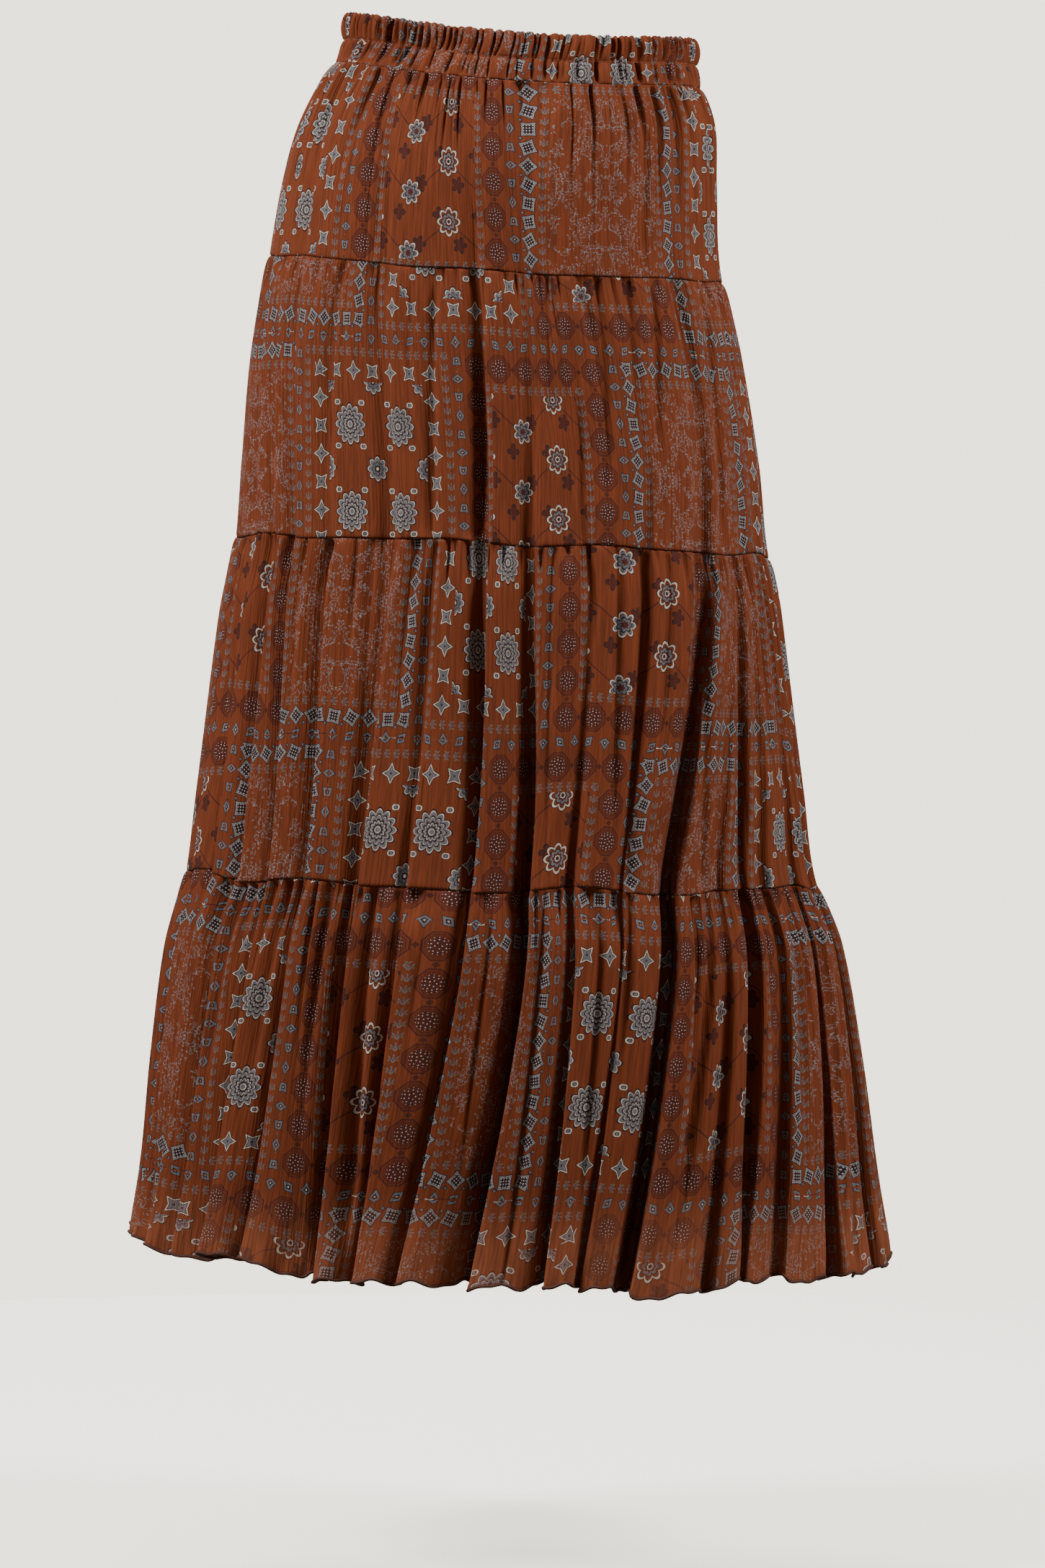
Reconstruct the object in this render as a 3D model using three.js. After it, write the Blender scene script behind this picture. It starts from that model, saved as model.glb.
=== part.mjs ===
// Tiered ruffle skirt as worn, hollow, with nobody in it: an elastic waistband and four
// gathered tiers, each a back and a front panel joined at the side seams.
// Millimetres, +Z up. The back faces +Y and the wearer's left side is +X.
import * as THREE from "three";

// Cloth walls and the gaps at the seams
const WALL = 1.3;
const BAND_WALL = 1.7;
const SEAM_GAP = 0.35;
const SIDE_GAP = 0.4;

// Waistband: two stitched channels over elastic
const BAND_TOP = 17;
const UPPER_CHANNEL = 0.55;
const CHANNEL_PUFF = 1.5;
const BAND_GATHER = 1.2;
const BAND_COLUMNS = 44;
const BAND_ROWS = [0, 0.27, 0.55, 0.78, 1];

// Gathers below a seam: the puff of the gathered cloth and how far down it dies away
const PUFF = 3.2;
const PUFF_RISE = 7;
const PUFF_FALL = 70;

// Seam lines from the waist down: height at the sides, rise per millimetre towards the
// wearer's left, how much lower the middle of the back hangs, and how far the line
// swings up and down round the ring
const EDGES = [
  { height: -19, tilt: 0.07, backDip: 12, swing: 0 },
  { height: -160, tilt: 0.061, backDip: 8, swing: 1 },
  { height: -360, tilt: 0.039, backDip: 0, swing: 2 },
  { height: -600, tilt: 0.024, backDip: 3, swing: 3.5 },
  { height: -868, tilt: 0.033, backDip: 10, swing: 4.5 },
];

// Outline down the skirt: how far the folded cloth reaches to each side, back and front
const OUTLINE = [
  { z: 40, left: 127, right: 127, back: 88, front: 92 },
  { z: 0, left: 130, right: 128, back: 89, front: 93 },
  { z: -20, left: 142, right: 129, back: 96, front: 98 },
  { z: -57, left: 161, right: 140, back: 111, front: 108 },
  { z: -99, left: 173, right: 142, back: 121, front: 114 },
  { z: -160, left: 184, right: 145, back: 127, front: 119 },
  { z: -225, left: 196, right: 160, back: 135, front: 128 },
  { z: -300, left: 203, right: 173, back: 144, front: 138 },
  { z: -360, left: 208, right: 179, back: 152, front: 147 },
  { z: -413, left: 219, right: 189, back: 161, front: 155 },
  { z: -539, left: 236, right: 206, back: 178, front: 172 },
  { z: -600, left: 244, right: 214, back: 187, front: 181 },
  { z: -650, left: 258, right: 233, back: 200, front: 193 },
  { z: -728, left: 269, right: 248, back: 211, front: 203 },
  { z: -800, left: 276, right: 258, back: 218, front: 210 },
  { z: -900, left: 289, right: 271, back: 227, front: 218 },
];

// Long folds that run down through the tiers. `at` gives degrees round from the left side
// seam (90 is the middle of the back) and `deep` how far the cloth falls in, both at the
// band, the three seams and the hem. `lean` is how far the bottom of a fold slips sideways
// under its neighbour at the hem.
const FOLDS = [
  { at: [10, 12, 20, 22, 18], deep: [0, 0, 4, 14, 26], wide: 9.5, lean: 7 },
  { at: [28, 31, 37, 41, 35], deep: [0, 4, 12, 30, 40], wide: 10, lean: 14 },
  { at: [58, 61, 65, 62, 58], deep: [0, 3, 9, 16, 32], wide: 10, lean: 8 },
  { at: [78, 84, 85, 83, 72], deep: [1, 6, 13, 20, 12], wide: 8, lean: 5 },
  { at: [90, 96, 95, 93, 82], deep: [1, 5, 15, 34, 43], wide: 11, lean: 11 },
  { at: [106, 106, 108, 102, 93.5], deep: [0, 0, 4, 13, 26], wide: 8.5, lean: 7 },
  { at: [140, 141, 138, 121, 106], deep: [0, 3, 13, 34, 42], wide: 11, lean: 10 },
  { at: [149, 149, 146, 132, 120], deep: [0, 0, 2, 9, 18], wide: 8, lean: 3 },
  { at: [156, 156, 154, 145, 133], deep: [0, 0, 6, 11, 22], wide: 8.5, lean: 5 },
  { at: [166, 166, 164, 159, 147], deep: [0, 1, 5, 13, 26], wide: 9.5, lean: 8 },
  { at: [174, 174, 173, 172, 163], deep: [0, 0, 2, 8, 22], wide: 8.5, lean: 6 },
  { at: [194, 196, 198, 199, 190], deep: [0, 0, 4, 12, 27], wide: 9.5, lean: -6 },
  { at: [212, 215, 219, 221, 212], deep: [0, 3, 11, 25, 38], wide: 10, lean: -12 },
  { at: [233, 235, 238, 240, 232], deep: [0, 2, 8, 14, 25], wide: 9.5, lean: 5 },
  { at: [249, 251, 254, 257, 250], deep: [1, 4, 10, 19, 33], wide: 9.5, lean: 9 },
  { at: [268, 269, 271, 273, 268], deep: [1, 5, 15, 31, 44], wide: 11, lean: 13 },
  { at: [283, 284, 287, 290, 286], deep: [0, 1, 5, 13, 23], wide: 8.5, lean: -5 },
  { at: [302, 303, 306, 309, 304], deep: [1, 4, 11, 28, 40], wide: 10, lean: -13 },
  { at: [322, 323, 325, 328, 323], deep: [0, 1, 6, 13, 27], wide: 9.5, lean: 7 },
  { at: [337, 338, 340, 342, 338], deep: [0, 2, 6, 13, 23], wide: 8.5, lean: 6 },
  { at: [351, 351, 351, 352, 352], deep: [0, 0, 2, 8, 20], wide: 8.5, lean: 5 },
];

// How square the troughs are (2 is a plain bell, more gives steeper sides), and how much
// wider they open at the band and the seams than at the hem
const FOLD_SHARPNESS = 2.6;
const FOLD_SPREAD = [1.6, 1.5, 1.3, 1.05, 1];

// Tiers from the hip down: the depth of the gathers under the seam, how long they run as
// a share of the tier, columns and rows of faces on a panel. Four columns make a gather.
const COLUMNS_PER_GATHER = 4;
const TIERS = [
  { gatherDepth: 1.8, run: 0.6, columns: 48, rows: 4 },
  { gatherDepth: 3.8, run: 0.55, columns: 56, rows: 6 },
  { gatherDepth: 4.6, run: 0.6, columns: 68, rows: 7 },
  { gatherDepth: 5.2, run: 0.65, columns: 84, rows: 8 },
];

// Smooth curve through rows: heights `knots` in falling or rising order, one value each
function smoothThrough(knots, values, x) {
  const rising = knots[knots.length - 1] > knots[0] ? 1 : -1;
  let i = 0;
  while (i < knots.length - 2 && (x - knots[i + 1]) * rising > 0) {
    i += 1;
  }
  const slope = (k) => {
    const before = Math.max(k - 1, 0);
    const after = Math.min(k + 1, knots.length - 1);
    return (values[after] - values[before]) / (knots[after] - knots[before]);
  };
  const span = knots[i + 1] - knots[i];
  const t = Math.min(Math.max((x - knots[i]) / span, 0), 1);
  const t2 = t * t;
  const t3 = t2 * t;
  return (
    (2 * t3 - 3 * t2 + 1) * values[i] +
    (t3 - 2 * t2 + t) * span * slope(i) +
    (3 * t2 - 2 * t3) * values[i + 1] +
    (t3 - t2) * span * slope(i + 1)
  );
}

const EDGE_LEVELS = EDGES.map((edge, level) => level);
const OUTLINE_HEIGHTS = OUTLINE.map((row) => row.z);
const RUN_STEPS = 48;

function outlineAt(z, column) {
  return smoothThrough(OUTLINE_HEIGHTS, OUTLINE.map((row) => row[column]), z);
}

// Straight blend between the rows of a table, by level (0 band, 1 to 3 seams, 4 hem)
function blend(values, level) {
  const i = Math.min(Math.floor(level), values.length - 2);
  return values[i] + (values[i + 1] - values[i]) * (level - i);
}

// Height of the cloth at a level and an angle round the ring
function heightAt(level, angle) {
  const mean = blend(EDGES.map((edge) => edge.height), level);
  const tilt = blend(EDGES.map((edge) => edge.tilt), level);
  const dip = blend(EDGES.map((edge) => edge.backDip), level);
  const swing = blend(EDGES.map((edge) => edge.swing), level);
  const waves = 0.6 * Math.sin(8 * angle + 2 * level) + 0.4 * Math.sin(13 * angle + level);
  const reach = (outlineAt(mean, "left") + outlineAt(mean, "right")) / 2;
  const back = Math.max(Math.sin(angle), 0);
  return mean + tilt * reach * Math.cos(angle) - dip * back * back + swing * waves;
}

// How far the long folds pull the cloth in and slip it sideways, with lengths measured on
// a ring whose speed round is `pace` millimetres a radian
function foldShift(level, angle, pace) {
  const shift = { inward: 0, sideways: 0 };
  for (const fold of FOLDS) {
    const centre = THREE.MathUtils.degToRad(smoothThrough(EDGE_LEVELS, fold.at, level));
    const deep = Math.max(smoothThrough(EDGE_LEVELS, fold.deep, level), 0);
    const wide = fold.wide * blend(FOLD_SPREAD, level);
    let turn = angle - centre;
    turn -= 2 * Math.PI * Math.round(turn / (2 * Math.PI));
    const bell = Math.exp(-(Math.abs((turn * pace) / wide) ** FOLD_SHARPNESS));
    shift.inward += deep * bell;
    shift.sideways += (fold.lean * deep * bell) / fold.deep[fold.deep.length - 1];
  }
  return shift;
}

// Gathers of one tier: a wave from column to column, uneven in height, that starts at the
// seam, is deepest a little below it and dies away down the tier
function gatherOffset(tier, drop, share, angle, column) {
  const uneven = 0.75 + 0.25 * Math.sin(3 * angle + tier.columns) * Math.sin(7 * angle);
  const grow = 1 - Math.exp(-drop / PUFF_RISE);
  const fade = Math.exp(-((share / tier.run) ** 2)) * (1 - share);
  const puff = PUFF * grow * Math.exp(-drop / PUFF_FALL) * (1 - share);
  const wave = Math.cos((2 * Math.PI * column) / COLUMNS_PER_GATHER);
  return puff + tier.gatherDepth * uneven * grow * fade * wave;
}

// Point on the ellipse of the outline at a height, and the outward direction there
function ringPoint(z, angle) {
  const left = outlineAt(z, "left");
  const right = outlineAt(z, "right");
  const back = outlineAt(z, "back");
  const front = outlineAt(z, "front");
  const a = (left + right) / 2;
  const b = (back + front) / 2;
  const x = (left - right) / 2 + a * Math.cos(angle);
  const y = (back - front) / 2 + b * Math.sin(angle);
  const out = new THREE.Vector2(Math.cos(angle) / a, Math.sin(angle) / b).normalize();
  const pace = Math.hypot(a * Math.sin(angle), b * Math.cos(angle));
  return { x, y, out, pace };
}

// Ring point at a height, moved out by `offset` and into the long folds of its level
function foldedPoint(level, z, angle, offset) {
  const ring = ringPoint(z, angle);
  const shift = foldShift(level, angle, ring.pace);
  const out = offset - shift.inward;
  const x = ring.x + ring.out.x * out - ring.out.y * shift.sideways;
  const y = ring.y + ring.out.y * out + ring.out.x * shift.sideways;
  return new THREE.Vector3(x, y, z);
}

// Outer face of tier `index` at a share of its drop (0 at the seam above, 1 at its foot)
function tierPoint(index, share, angle, column) {
  const top = heightAt(index, angle) - SEAM_GAP / 2;
  const foot = heightAt(index + 1, angle) + (index < TIERS.length - 1 ? SEAM_GAP / 2 : 0);
  const z = top + (foot - top) * share;
  const gather = gatherOffset(TIERS[index], top - z, share, angle, column);
  return foldedPoint(index + share, z, angle, gather);
}

// Outer face of the waistband, puffed over each of its two channels
function bandPoint(share, angle, column) {
  const foot = heightAt(0, angle) + SEAM_GAP / 2;
  const top = foot + BAND_TOP - EDGES[0].height;
  const z = top + (foot - top) * share;
  const inUpper = share < UPPER_CHANNEL;
  const across = inUpper ? share / UPPER_CHANNEL : (share - UPPER_CHANNEL) / (1 - UPPER_CHANNEL);
  const bulge = Math.sin(Math.PI * across);
  const pleat = BAND_GATHER * Math.cos(Math.PI * column) * (0.35 + 0.65 * bulge);
  return foldedPoint(0, z, angle, CHANNEL_PUFF * bulge + pleat);
}

// Angles of a panel's columns at a level. The columns run along the long folds, and
// between two folds they share out the folded cloth evenly.
function columnAngles(side, level, footLevel, columns) {
  const start = side === "back" ? 0 : Math.PI;
  const depth = ringPoint(heightAt(level, start), start).pace;
  const first = start + SIDE_GAP / 2 / depth;
  const last = start + Math.PI - SIDE_GAP / 2 / depth;
  const onPanel = FOLDS.filter((fold) => (fold.at[0] < 180) === (side === "back"));
  const stopsAt = (stopLevel) => {
    const centres = onPanel.map((fold) => smoothThrough(EDGE_LEVELS, fold.at, stopLevel));
    return [first, ...centres.map(THREE.MathUtils.degToRad), last];
  };
  const runs = (stopLevel) => {
    const stops = stopsAt(stopLevel);
    return stops.slice(1).map((stop, i) => clothRun(stopLevel, stops[i], stop));
  };
  const lengths = runs(footLevel).map((run) => run[run.length - 1].length);
  const total = lengths.reduce((sum, length) => sum + length, 0);
  const angles = [first];
  let shared = 0;
  runs(level).forEach((run, i) => {
    shared += lengths[i];
    const upTo = Math.round((columns * shared) / total);
    const count = upTo + 1 - angles.length;
    const length = run[run.length - 1].length;
    for (let k = 1; k <= count; k += 1) {
      angles.push(angleAtLength(run, (length * k) / count));
    }
  });
  return angles;
}

// Cloth length along the folded ring of a level, from one angle to another
function clothRun(level, from, to) {
  const z = heightAt(level, (from + to) / 2);
  const run = [{ angle: from, length: 0 }];
  let before = foldedPoint(level, z, from, 0);
  for (let k = 1; k <= RUN_STEPS; k += 1) {
    const angle = from + ((to - from) * k) / RUN_STEPS;
    const point = foldedPoint(level, z, angle, 0);
    run.push({ angle, length: run[k - 1].length + point.distanceTo(before) });
    before = point;
  }
  return run;
}

function angleAtLength(run, length) {
  let k = 1;
  while (k < run.length - 1 && run[k].length < length) {
    k += 1;
  }
  const span = run[k].length - run[k - 1].length;
  const part = (length - run[k - 1].length) / span;
  return run[k - 1].angle + (run[k].angle - run[k - 1].angle) * part;
}

// Closed wall from a grid of outer points: the inner face is the same grid moved in by
// `wall` square to the ring, and strips close the top, the foot and both side seams
function wallGeometry(pointAt, anglesAt, shares, wall) {
  const rows = shares.length - 1;
  const columns = anglesAt(0).length - 1;
  const positions = [];
  const inner = [];
  for (const share of shares) {
    const angles = anglesAt(share);
    for (let column = 0; column <= columns; column += 1) {
      const angle = angles[column];
      const left = angles[Math.max(column - 1, 0)];
      const right = angles[Math.min(column + 1, columns)];
      const step = (right - left) / (column % columns === 0 ? 2 : 4);
      const point = pointAt(share, angle, column);
      const before = pointAt(share, angle - step, column - 0.5);
      const after = pointAt(share, angle + step, column + 0.5);
      const along = new THREE.Vector2(after.x - before.x, after.y - before.y).normalize();
      positions.push(point.x, point.y, point.z);
      inner.push(point.x - along.y * wall, point.y + along.x * wall, point.z);
    }
  }
  const count = positions.length / 3;
  const at = (row, column) => row * (columns + 1) + column;
  const faces = [];
  const quad = (a, b, c, d) => {
    faces.push(a, b, c);
    faces.push(a, c, d);
  };
  for (let row = 0; row < rows; row += 1) {
    for (let column = 0; column < columns; column += 1) {
      const a = at(row, column);
      const b = at(row + 1, column);
      const c = at(row + 1, column + 1);
      const d = at(row, column + 1);
      quad(a, b, c, d);
      quad(a + count, d + count, c + count, b + count);
    }
  }
  for (let column = 0; column < columns; column += 1) {
    const top = at(0, column);
    const foot = at(rows, column);
    quad(top, top + 1, top + 1 + count, top + count);
    quad(foot, foot + count, foot + 1 + count, foot + 1);
  }
  for (let row = 0; row < rows; row += 1) {
    const first = at(row, 0);
    const below = at(row + 1, 0);
    const last = at(row, columns);
    const lastBelow = at(row + 1, columns);
    quad(first, first + count, below + count, below);
    quad(last, lastBelow, lastBelow + count, last + count);
  }
  const geometry = new THREE.BufferGeometry();
  geometry.setAttribute("position", new THREE.Float32BufferAttribute(positions.concat(inner), 3));
  geometry.setIndex(faces);
  geometry.computeVertexNormals();
  return geometry;
}

// Rows of a tier crowd towards its gathered seam
function tierShares(rows) {
  const shares = [];
  for (let row = 0; row <= rows; row += 1) {
    shares.push((row / rows) ** 1.5);
  }
  return shares;
}

const cloth = new THREE.MeshStandardMaterial({ color: "#8a4523", roughness: 0.92, metalness: 0 });
const group = new THREE.Group();

function addPiece(name, geometry) {
  const mesh = new THREE.Mesh(geometry, cloth.clone());
  mesh.name = name;
  group.add(mesh);
}

for (const side of ["back", "front"]) {
  const anglesAt = () => columnAngles(side, 0, 0, BAND_COLUMNS);
  addPiece(`waistband_${side}`, wallGeometry(bandPoint, anglesAt, BAND_ROWS, BAND_WALL));
}
TIERS.forEach((tier, index) => {
  for (const side of ["back", "front"]) {
    const anglesAt = (share) => columnAngles(side, index + share, index + 1, tier.columns);
    const pointAt = (share, angle, column) => tierPoint(index, share, angle, column);
    const geometry = wallGeometry(pointAt, anglesAt, tierShares(tier.rows), WALL);
    addPiece(`tier${index + 1}_${side}`, geometry);
  }
});

export default group;
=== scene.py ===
import math
import bpy
import numpy as np
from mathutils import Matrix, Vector


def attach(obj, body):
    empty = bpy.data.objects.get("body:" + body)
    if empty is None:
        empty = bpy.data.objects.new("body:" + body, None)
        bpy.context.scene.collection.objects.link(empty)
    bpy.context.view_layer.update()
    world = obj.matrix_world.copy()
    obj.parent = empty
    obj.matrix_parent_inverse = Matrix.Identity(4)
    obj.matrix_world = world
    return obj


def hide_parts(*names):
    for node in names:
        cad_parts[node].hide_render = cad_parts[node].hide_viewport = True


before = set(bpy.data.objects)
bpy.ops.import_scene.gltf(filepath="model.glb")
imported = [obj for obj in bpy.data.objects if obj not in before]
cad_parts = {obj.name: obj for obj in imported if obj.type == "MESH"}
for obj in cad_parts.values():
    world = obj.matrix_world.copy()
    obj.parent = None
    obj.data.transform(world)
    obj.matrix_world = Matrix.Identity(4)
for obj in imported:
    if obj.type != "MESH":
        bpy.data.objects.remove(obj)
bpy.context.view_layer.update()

# How the skirt hangs
# The skirt is four gathered rings of thin crinkle rayon under an elastic waistband. The
# long folds start at the hips and run down through every tier, so the shape of each ring
# is worked out once here, in millimetres, and shared by all the panels.
MM = 0.001
EDGE_HEIGHT = [-19, -160, -360, -600, -868]
EDGE_TILT = [0.07, 0.061, 0.039, 0.024, 0.033]
EDGE_BACK_DIP = [12, 8, 0, 3, 10]
EDGE_SWING = [0, 1, 2, 3.5, 4.5]
OUTLINE = {
    "z": [40, 0, -20, -57, -99, -160, -225, -300, -360, -413, -539, -600, -650, -728, -800, -900],
    "left": [127, 130, 142, 161, 173, 184, 196, 203, 208, 219, 236, 244, 258, 269, 276, 289],
    "right": [127, 128, 129, 140, 142, 145, 160, 173, 179, 189, 206, 214, 233, 248, 258, 271],
    "back": [88, 89, 96, 111, 121, 127, 135, 144, 152, 161, 178, 187, 200, 211, 218, 227],
    "front": [92, 93, 98, 108, 114, 119, 128, 138, 147, 155, 172, 181, 193, 203, 210, 218],
}
# Each long fold: degrees round from the left side seam and depth, at the band, the three
# seams and the hem, then its width and how far its bottom slips under its neighbour.
# The shallow ones are small pipes between the main folds.
FOLDS = [
    ([4, 5, 9, 10, 8], [0, 0, 3, 8, 15], 7, 5),
    ([10, 12, 20, 22, 18], [0, 0, 4, 14, 28], 9.5, 7),
    ([19, 22, 29, 31, 27], [0, 0, 4, 11, 16], 7, 6),
    ([28, 31, 37, 41, 35], [0, 4, 10, 26, 40], 10, 14),
    ([43, 46, 50, 51, 45], [0, 0, 3, 8, 14], 7, 5),
    ([58, 61, 65, 62, 58], [0, 3, 7, 14, 32], 10, 8),
    ([68, 72, 75, 72, 65], [0, 0, 3, 8, 14], 7, 6),
    ([78, 84, 85, 83, 72], [1, 6, 10, 17, 12], 8, 5),
    ([90, 96, 95, 93, 82], [1, 5, 11, 29, 43], 11, 11),
    ([106, 106, 108, 102, 93.5], [0, 0, 4, 11, 26], 8.5, 7),
    ([122, 123, 122, 111, 99], [0, 0, 4, 8, 14], 7, 6),
    ([140, 141, 138, 121, 106], [0, 3, 10, 29, 37], 11, 10),
    ([149, 149, 146, 132, 120], [0, 0, 2, 8, 13], 9, 3),
    ([153, 153, 150, 139, 126], [0, 0, 3, 8, 12], 6.5, 5),
    ([156, 156, 154, 145, 133], [0, 0, 4, 9, 16], 10, 5),
    ([166, 166, 164, 159, 147], [0, 1, 4, 10, 20], 10.5, 8),
    ([174, 174, 173, 172, 163], [0, 0, 2, 8, 18], 9.5, 6),
    ([184, 185, 187, 188, 182], [0, 0, 3, 8, 14], 7, -5),
    ([194, 196, 198, 199, 190], [0, 0, 4, 10, 27], 9.5, -6),
    ([203, 205, 208, 210, 201], [0, 0, 3, 8, 14], 7, 5),
    ([212, 215, 219, 221, 212], [0, 3, 8, 21, 38], 10, -12),
    ([233, 235, 238, 240, 232], [0, 2, 6, 12, 25], 9.5, 5),
    ([249, 251, 254, 257, 250], [1, 4, 8, 16, 33], 9.5, 9),
    ([259, 260, 262, 264, 258], [0, 0, 3, 8, 13], 7, -5),
    ([268, 269, 271, 273, 268], [1, 5, 11, 26, 44], 11, 13),
    ([283, 284, 287, 290, 286], [0, 1, 4, 11, 23], 8.5, -5),
    ([302, 303, 306, 309, 304], [1, 4, 8, 24, 40], 10, -13),
    ([312, 313, 315, 318, 313], [0, 0, 4, 8, 14], 7, 5),
    ([322, 323, 325, 328, 323], [0, 1, 4, 11, 27], 9.5, 7),
    ([337, 338, 340, 342, 338], [0, 2, 4, 11, 23], 8.5, 6),
    ([351, 351, 351, 352, 352], [0, 0, 2, 8, 20], 8.5, 5),
]
SLOT_SHARE = 0.58
SLOT_WIDTH = 0.55
SOFT_SIDE = 2.0
SHARP_SIDE = 0.55
SLIP = 1.45
FOLD_SPREAD = [1.6, 1.5, 1.3, 1.05, 1]
LEVELS = np.arange(5.0)


def through(knots, values, x):
    """Smooth curve through table rows: a cubic between each two knots whose slope at a
    knot is that of the line between the knots beside it."""
    knots = np.asarray(knots, float)
    values = np.asarray(values, float)
    if knots[0] > knots[-1]:
        knots, x = -knots, -np.asarray(x)
    slope = np.gradient(values, knots)
    slope[1:-1] = (values[2:] - values[:-2]) / (knots[2:] - knots[:-2])
    i = np.clip(np.searchsorted(knots, x, side="right") - 1, 0, len(knots) - 2)
    span = knots[i + 1] - knots[i]
    t = np.clip((x - knots[i]) / span, 0, 1)
    start = (2 * t**3 - 3 * t**2 + 1) * values[i] + (t**3 - 2 * t**2 + t) * span * slope[i]
    end = (3 * t**2 - 2 * t**3) * values[i + 1] + (t**3 - t**2) * span * slope[i + 1]
    return start + end


def height_at(level, angle):
    """Height of the cloth: the mean height of its level, tilted up to the left, and lower
    at the middle of the back."""
    mean = np.interp(level, LEVELS, EDGE_HEIGHT)
    left = through(OUTLINE["z"], OUTLINE["left"], mean)
    right = through(OUTLINE["z"], OUTLINE["right"], mean)
    reach = (left + right) / 2
    tilt = np.interp(level, LEVELS, EDGE_TILT)
    dip = np.interp(level, LEVELS, EDGE_BACK_DIP)
    swing = np.interp(level, LEVELS, EDGE_SWING)
    waves = 0.6 * np.sin(8 * angle + 2 * level) + 0.4 * np.sin(13 * angle + level)
    return mean + tilt * reach * np.cos(angle) - dip * np.maximum(np.sin(angle), 0) ** 2 + swing * waves


def folded_point(level, z, angle, out_by):
    """Point on the ellipse of the outline at height z, moved out by out_by, and into each
    long fold by two bell curves of the distance round from the fold's line: a narrow slot,
    and a shoulder that is sharp on the side that the slot slips under and soft opposite."""
    sides = ("left", "right", "back", "front")
    left, right, back, front = (through(OUTLINE["z"], OUTLINE[side], z) for side in sides)
    a = (left + right) / 2
    b = (back + front) / 2
    pace = np.hypot(a * np.sin(angle), b * np.cos(angle))
    inward = np.zeros_like(pace)
    sideways = np.zeros_like(pace)
    for at, deep, wide, lean in FOLDS:
        turn = angle - np.radians(through(LEVELS, at, level))
        turn = turn - 2 * np.pi * np.round(turn / (2 * np.pi))
        depth = np.maximum(through(LEVELS, deep, level), 0)
        round_by = turn * pace
        soft = 1 / (1 + np.exp(np.clip(np.sign(lean) * round_by / 1.5, -50, 50)))
        across = np.abs(round_by) / (wide * np.interp(level, LEVELS, FOLD_SPREAD))
        slot = np.exp(-((across / SLOT_WIDTH) ** 2.6))
        shoulder = np.exp(-((across / (SHARP_SIDE + (SOFT_SIDE - SHARP_SIDE) * soft)) ** 2))
        bell = depth * (SLOT_SHARE * slot + (1 - SLOT_SHARE) * shoulder)
        inward += bell
        sideways += bell * SLIP * lean / deep[-1]
    out_x = np.cos(angle) / a
    out_y = np.sin(angle) / b
    length = np.hypot(out_x, out_y)
    out_x, out_y = out_x / length, out_y / length
    out = out_by - inward
    x = (left - right) / 2 + a * np.cos(angle) + out_x * out - out_y * sideways
    y = (back - front) / 2 + b * np.sin(angle) + out_y * out + out_x * sideways
    return np.stack([x, y, z + 0 * x], axis=-1)


def column_angles(side, level, foot_level, share):
    """Angle of each thread at each level: the threads run along the long folds, and
    between two folds they lie evenly along the folded cloth. share is 0 to 1 across."""
    begin = 0 if side == "back" else np.pi
    level = np.asarray(level, float)
    foot = np.append(level, foot_level)
    own = [fold[0] for fold in FOLDS if (fold[0][0] < 180) == (side == "back")]
    stops = [np.full(len(foot), begin)]
    stops += [np.radians(through(LEVELS, at, foot)) for at in own]
    stops += [np.full(len(foot), begin + np.pi)]
    stops = np.stack(stops, axis=1)
    steps = 40
    part = np.linspace(0, 1, steps + 1)[None, None, :]
    fine = stops[:, :-1, None] + (stops[:, 1:, None] - stops[:, :-1, None]) * part
    levels = foot[:, None, None] + 0 * fine
    points = folded_point(levels, height_at(levels, fine), fine, 0)
    run = np.cumsum(np.linalg.norm(np.diff(points[..., :2], axis=2), axis=-1), axis=2)
    run = np.concatenate([np.zeros(run.shape[:2] + (1,)), run], axis=2)
    ends = np.concatenate([[0], np.cumsum(run[-1, :, -1])])
    ends = ends / ends[-1]
    angles = np.empty((len(level), len(share)))
    for row in range(len(level)):
        marks = ends[:-1, None] + (ends[1:] - ends[:-1])[:, None] * run[row] / run[row, :, -1:]
        angles[row] = np.interp(share, marks.ravel(), fine[row].ravel())
    return angles


# Cloth
# Printed crinkle rayon: thin, matt and a little sheer, with fine upright crinkles set in
# the yarn. The print is a patchwork of blocks in nested frames of small motifs, laid out
# here from its own sizes in millimetres on the cut cloth.
def linear(hex_colour):
    """sRGB hex colour as linear light."""
    parts = [int(hex_colour[i:i + 2], 16) / 255 for i in (1, 3, 5)]
    return [p / 12.92 if p <= 0.04045 else ((p + 0.055) / 1.055) ** 2.4 for p in parts] + [1]


def add(tree, kind, *inputs, **settings):
    """Adds one node with its settings, joins or sets its inputs in order (None leaves one
    alone) and gives back its first output."""
    node = tree.nodes.new("ShaderNode" + kind)
    for name, value in settings.items():
        setattr(node, name, value)
    for socket, source in zip(node.inputs, inputs):
        if isinstance(source, bpy.types.NodeSocket):
            tree.links.new(source, socket)
        elif source is not None:
            socket.default_value = source
    return node.outputs[0]


def paint_bands(tree, under, field, where, bands):
    """Paints rings of colour over what lies under: each band is the field value it starts
    at and its colour, or None to leave the cloth bare. The field counts up from 0 at the
    motif's centre, and where is 1 on the stretch of cloth that has the motif."""
    top = 1.6
    node = tree.nodes.new("ShaderNodeValToRGB")
    node.color_ramp.interpolation = "CONSTANT"
    ramp = node.color_ramp.elements
    while len(ramp) < len(bands):
        ramp.new(1.0)
    for element, (start, colour) in zip(ramp, bands):
        element.position = start / top
        element.color = linear(colour) if colour else (0, 0, 0, 0)
    scaled = add(tree, "Math", field, 1 / top, operation="MULTIPLY")
    tree.links.new(scaled, node.inputs[0])
    cover = add(tree, "Math", node.outputs[1], where, operation="MULTIPLY")
    return add(tree, "MixRGB", cover, under, node.outputs[0])


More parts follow.
